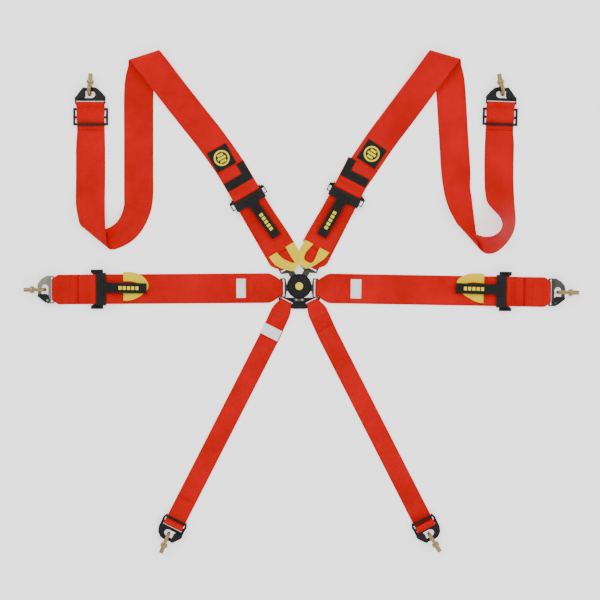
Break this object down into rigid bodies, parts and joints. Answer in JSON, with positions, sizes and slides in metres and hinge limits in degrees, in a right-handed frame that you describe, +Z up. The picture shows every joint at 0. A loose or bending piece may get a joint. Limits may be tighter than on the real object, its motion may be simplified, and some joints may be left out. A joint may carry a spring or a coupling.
{
  "type": "racing harness",
  "caption": "Six-point racing harness laid flat: rotary quick-release buckle, red webbing arms with adjusters and pull loops, snap hooks and eye bolts.",
  "frame": {"origin": "centre of the rotary buckle, at the level of the table it lies on", "axes": "+Z up from the table, +Y from the buckle towards the shoulder arms, +X towards the right lap arm as seen from above"},
  "size_m": [1.3888, 1.2615, 0.0696],
  "materials": {
    "red_webbing": "woven polyester",
    "yellow_webbing": "woven polyester",
    "dark_label": "sewn label",
    "gold_zinc": "yellow zinc plated",
    "black_steel": "black powder coat",
    "gunmetal": "satin grey",
    "bright_steel": "zinc plated",
    "grey_tongue": "dull plated",
    "dark_tongue": "dark oxide",
    "black_knob": "satin",
    "black_tab": "satin",
    "yellow_badge": "enamel"
  },
  "bodies": {
    "buckle": {"buckle_base": "dark_tongue", "buckle_cover": "black_knob", "crotch_plate": "black_steel", "buckle_screws": "bright_steel", "return_spring": "bright_steel", "lap_tongue_left": "grey_tongue"},
    "knob": {"release_knob": "black_knob", "knob_badge": "yellow_badge"},
    "pins": {"lock_pins": "bright_steel"},
    "tongue_shoulder_left": {"shoulder_tongue_left": "dark_tongue"},
    "tongue_shoulder_right": {"shoulder_tongue_right": "dark_tongue"},
    "tongue_lap_right": {"lap_tongue_right": "dark_tongue"},
    "arm_shoulder_left": {"shoulder_lower_webbing_left": "red_webbing", "shoulder_upper_webbing_left": "red_webbing", "shoulder_patch_left": "dark_label", "slide_bar_shoulder_left": "bright_steel", "pull_loop_shoulder_left": "yellow_webbing", "three_bar_slide_left": "black_steel", "hook_shoulder_left": "black_steel"},
    "arm_shoulder_right": {"shoulder_lower_webbing_right": "red_webbing", "shoulder_upper_webbing_right": "red_webbing", "shoulder_patch_right": "dark_label", "slide_bar_shoulder_right": "bright_steel", "pull_loop_shoulder_right": "yellow_webbing", "three_bar_slide_right": "black_steel", "hook_shoulder_right": "black_steel"},
    "arm_lap_left": {"lap_webbing_left": "red_webbing", "lap_anchor_webbing_left": "red_webbing", "slide_bar_lap_left": "bright_steel", "pull_loop_lap_left": "yellow_webbing", "hook_lap_left": "gunmetal"},
    "arm_lap_right": {"lap_webbing_right": "red_webbing", "lap_anchor_webbing_right": "red_webbing", "slide_bar_lap_right": "bright_steel", "pull_loop_lap_right": "yellow_webbing", "hook_lap_right": "gunmetal"},
    "arm_leg_left": {"leg_webbing_left": "red_webbing", "hook_leg_left": "black_steel"},
    "arm_leg_right": {"leg_webbing_right": "red_webbing", "hook_leg_right": "black_steel"},
    "adjuster_shoulder_left": {"adjuster_frame_shoulder_left": "black_steel", "release_tab_shoulder_left": "black_tab"},
    "adjuster_shoulder_right": {"adjuster_frame_shoulder_right": "black_steel", "release_tab_shoulder_right": "black_tab"},
    "adjuster_lap_left": {"adjuster_frame_lap_left": "black_steel", "release_tab_lap_left": "black_tab"},
    "adjuster_lap_right": {"adjuster_frame_lap_right": "black_steel", "release_tab_lap_right": "black_tab"},
    "latch_shoulder_left": {"hook_latch_shoulder_left": "black_steel"},
    "latch_shoulder_right": {"hook_latch_shoulder_right": "black_steel"},
    "latch_lap_left": {"hook_latch_lap_left": "black_steel"},
    "latch_lap_right": {"hook_latch_lap_right": "black_steel"},
    "latch_leg_left": {"hook_latch_leg_left": "black_steel"},
    "latch_leg_right": {"hook_latch_leg_right": "black_steel"},
    "eye_shoulder_left": {"eye_bolt_shoulder_left": "gold_zinc"},
    "eye_shoulder_right": {"eye_bolt_shoulder_right": "gold_zinc"},
    "eye_lap_left": {"eye_bolt_lap_left": "gold_zinc"},
    "eye_lap_right": {"eye_bolt_lap_right": "gold_zinc"},
    "eye_leg_left": {"eye_bolt_leg_left": "gold_zinc"},
    "eye_leg_right": {"eye_bolt_leg_right": "gold_zinc"}
  },
  "joints": [
    {"name": "knob_turn", "type": "hinge", "parent": "buckle", "child": "knob", "pos_m": [0, 0, 0.02], "axis": [0, 0, 1], "range_deg": [0, 40], "stiffness_Nm_per_rad": 0.3},
    {"name": "pins_lift", "type": "slide", "parent": "buckle", "child": "pins", "axis": [0, 0, 1], "range_m": [0, 0.007]},
    {"name": "release_shoulder_left", "type": "slide", "parent": "buckle", "child": "tongue_shoulder_left", "axis": [-0.5, 0.866, 0], "range_m": [0, 0.012]},
    {"name": "release_shoulder_right", "type": "slide", "parent": "buckle", "child": "tongue_shoulder_right", "axis": [0.454, 0.891, 0], "range_m": [0, 0.012]},
    {"name": "release_lap_right", "type": "slide", "parent": "buckle", "child": "tongue_lap_right", "axis": [0.9998, -0.0175, 0], "range_m": [0, 0.012]},
    {"name": "fold_shoulder_left", "type": "hinge", "parent": "tongue_shoulder_left", "child": "arm_shoulder_left", "pos_m": [-0.03, 0.05196, 0.0105], "axis": [0.866, 0.5, 0], "range_deg": [0, 25]},
    {"name": "fold_shoulder_right", "type": "hinge", "parent": "tongue_shoulder_right", "child": "arm_shoulder_right", "pos_m": [0.02724, 0.05346, 0.0105], "axis": [0.891, -0.454, 0], "range_deg": [0, 25]},
    {"name": "fold_lap_left", "type": "hinge", "parent": "buckle", "child": "arm_lap_left", "pos_m": [-0.045, -0.00431, 0.0105], "axis": [-0.007, 1, 0], "range_deg": [0, 60]},
    {"name": "fold_lap_right", "type": "hinge", "parent": "tongue_lap_right", "child": "arm_lap_right", "pos_m": [0.04499, -0.00479, 0.0105], "axis": [-0.0175, -0.9998, 0], "range_deg": [0, 60]},
    {"name": "fold_leg_left", "type": "hinge", "parent": "buckle", "child": "arm_leg_left", "pos_m": [-0.03134, -0.04188, 0.007], "axis": [-0.891, 0.454, 0], "range_deg": [0, 60]},
    {"name": "fold_leg_right", "type": "hinge", "parent": "buckle", "child": "arm_leg_right", "pos_m": [0.03134, -0.04188, 0.007], "axis": [-0.891, -0.454, 0], "range_deg": [0, 60]},
    {"name": "adjust_shoulder_left", "type": "hinge", "parent": "arm_shoulder_left", "child": "adjuster_shoulder_left", "pos_m": [-0.1325, 0.2295, 0.014], "axis": [-0.866, -0.5, 0], "range_deg": [0, 14]},
    {"name": "adjust_shoulder_right", "type": "hinge", "parent": "arm_shoulder_right", "child": "adjuster_shoulder_right", "pos_m": [0.12122, 0.2379, 0.014], "axis": [-0.891, 0.454, 0], "range_deg": [0, 14]},
    {"name": "adjust_lap_left", "type": "hinge", "parent": "arm_lap_left", "child": "adjuster_lap_left", "pos_m": [-0.51199, -0.00757, 0.014], "axis": [0.007, -1, 0], "range_deg": [0, 14]},
    {"name": "adjust_lap_right", "type": "hinge", "parent": "arm_lap_right", "child": "adjuster_lap_right", "pos_m": [0.52192, -0.01311, 0.014], "axis": [0.0175, 0.9998, 0], "range_deg": [0, 14]},
    {"name": "latch_shoulder_left", "type": "hinge", "parent": "arm_shoulder_left", "child": "latch_shoulder_left", "pos_m": [-0.551, 0.473, 0.0168], "axis": [0, 0, 1], "range_deg": [0, 45], "stiffness_Nm_per_rad": 0.02, "springref_deg": -11.46},
    {"name": "latch_shoulder_right", "type": "hinge", "parent": "arm_shoulder_right", "child": "latch_shoulder_right", "pos_m": [0.5334, 0.47205, 0.0168], "axis": [0, 0, -1], "range_deg": [0, 45], "stiffness_Nm_per_rad": 0.02, "springref_deg": -11.46},
    {"name": "latch_lap_left", "type": "hinge", "parent": "arm_lap_left", "child": "latch_lap_left", "pos_m": [-0.6298, -0.0354, 0.0168], "axis": [0, 0, 1], "range_deg": [0, 45], "stiffness_Nm_per_rad": 0.02, "springref_deg": -11.46},
    {"name": "latch_lap_right", "type": "hinge", "parent": "arm_lap_right", "child": "latch_lap_right", "pos_m": [0.64043, -0.04218, 0.0168], "axis": [0, 0, -1], "range_deg": [0, 45], "stiffness_Nm_per_rad": 0.02, "springref_deg": -11.46},
    {"name": "latch_leg_left", "type": "hinge", "parent": "arm_leg_left", "child": "latch_leg_left", "pos_m": [-0.29829, -0.62527, 0.0168], "axis": [0, 0, 1], "range_deg": [0, 45], "stiffness_Nm_per_rad": 0.02, "springref_deg": -11.46},
    {"name": "latch_leg_right", "type": "hinge", "parent": "arm_leg_right", "child": "latch_leg_right", "pos_m": [0.29829, -0.62527, 0.0168], "axis": [0, 0, -1], "range_deg": [0, 45], "stiffness_Nm_per_rad": 0.02, "springref_deg": -11.46},
    {"name": "eye_shoulder_left", "type": "hinge", "parent": "arm_shoulder_left", "child": "eye_shoulder_left", "pos_m": [-0.524, 0.493, 0.018], "axis": [0, 0, 1], "range_deg": [-17, 23]},
    {"name": "eye_shoulder_right", "type": "hinge", "parent": "arm_shoulder_right", "child": "eye_shoulder_right", "pos_m": [0.50712, 0.49298, 0.018], "axis": [0, 0, 1], "range_deg": [-32, 8]},
    {"name": "eye_lap_left", "type": "hinge", "parent": "arm_lap_left", "child": "eye_lap_left", "pos_m": [-0.64998, -0.00854, 0.018], "axis": [0, 0, 1], "range_deg": [-20, 20]},
    {"name": "eye_lap_right", "type": "hinge", "parent": "arm_lap_right", "child": "eye_lap_right", "pos_m": [0.6609, -0.01554, 0.018], "axis": [0, 0, 1], "range_deg": [-20, 20]},
    {"name": "eye_leg_left", "type": "hinge", "parent": "arm_leg_left", "child": "eye_leg_left", "pos_m": [-0.33143, -0.63083, 0.018], "axis": [0, 0, 1], "range_deg": [-25, 15]},
    {"name": "eye_leg_right", "type": "hinge", "parent": "arm_leg_right", "child": "eye_leg_right", "pos_m": [0.33143, -0.63083, 0.018], "axis": [0, 0, 1], "range_deg": [-25, 15]}
  ],
  "couplings": [
    {"joint": "knob_turn", "follows": "pins_lift", "rad_per_m": 99.723},
    {"joint": "release_shoulder_left", "follows": "pins_lift", "ratio": 1.7141},
    {"joint": "release_shoulder_right", "follows": "pins_lift", "ratio": 1.7141},
    {"joint": "release_lap_right", "follows": "pins_lift", "ratio": 1.7141}
  ]
}
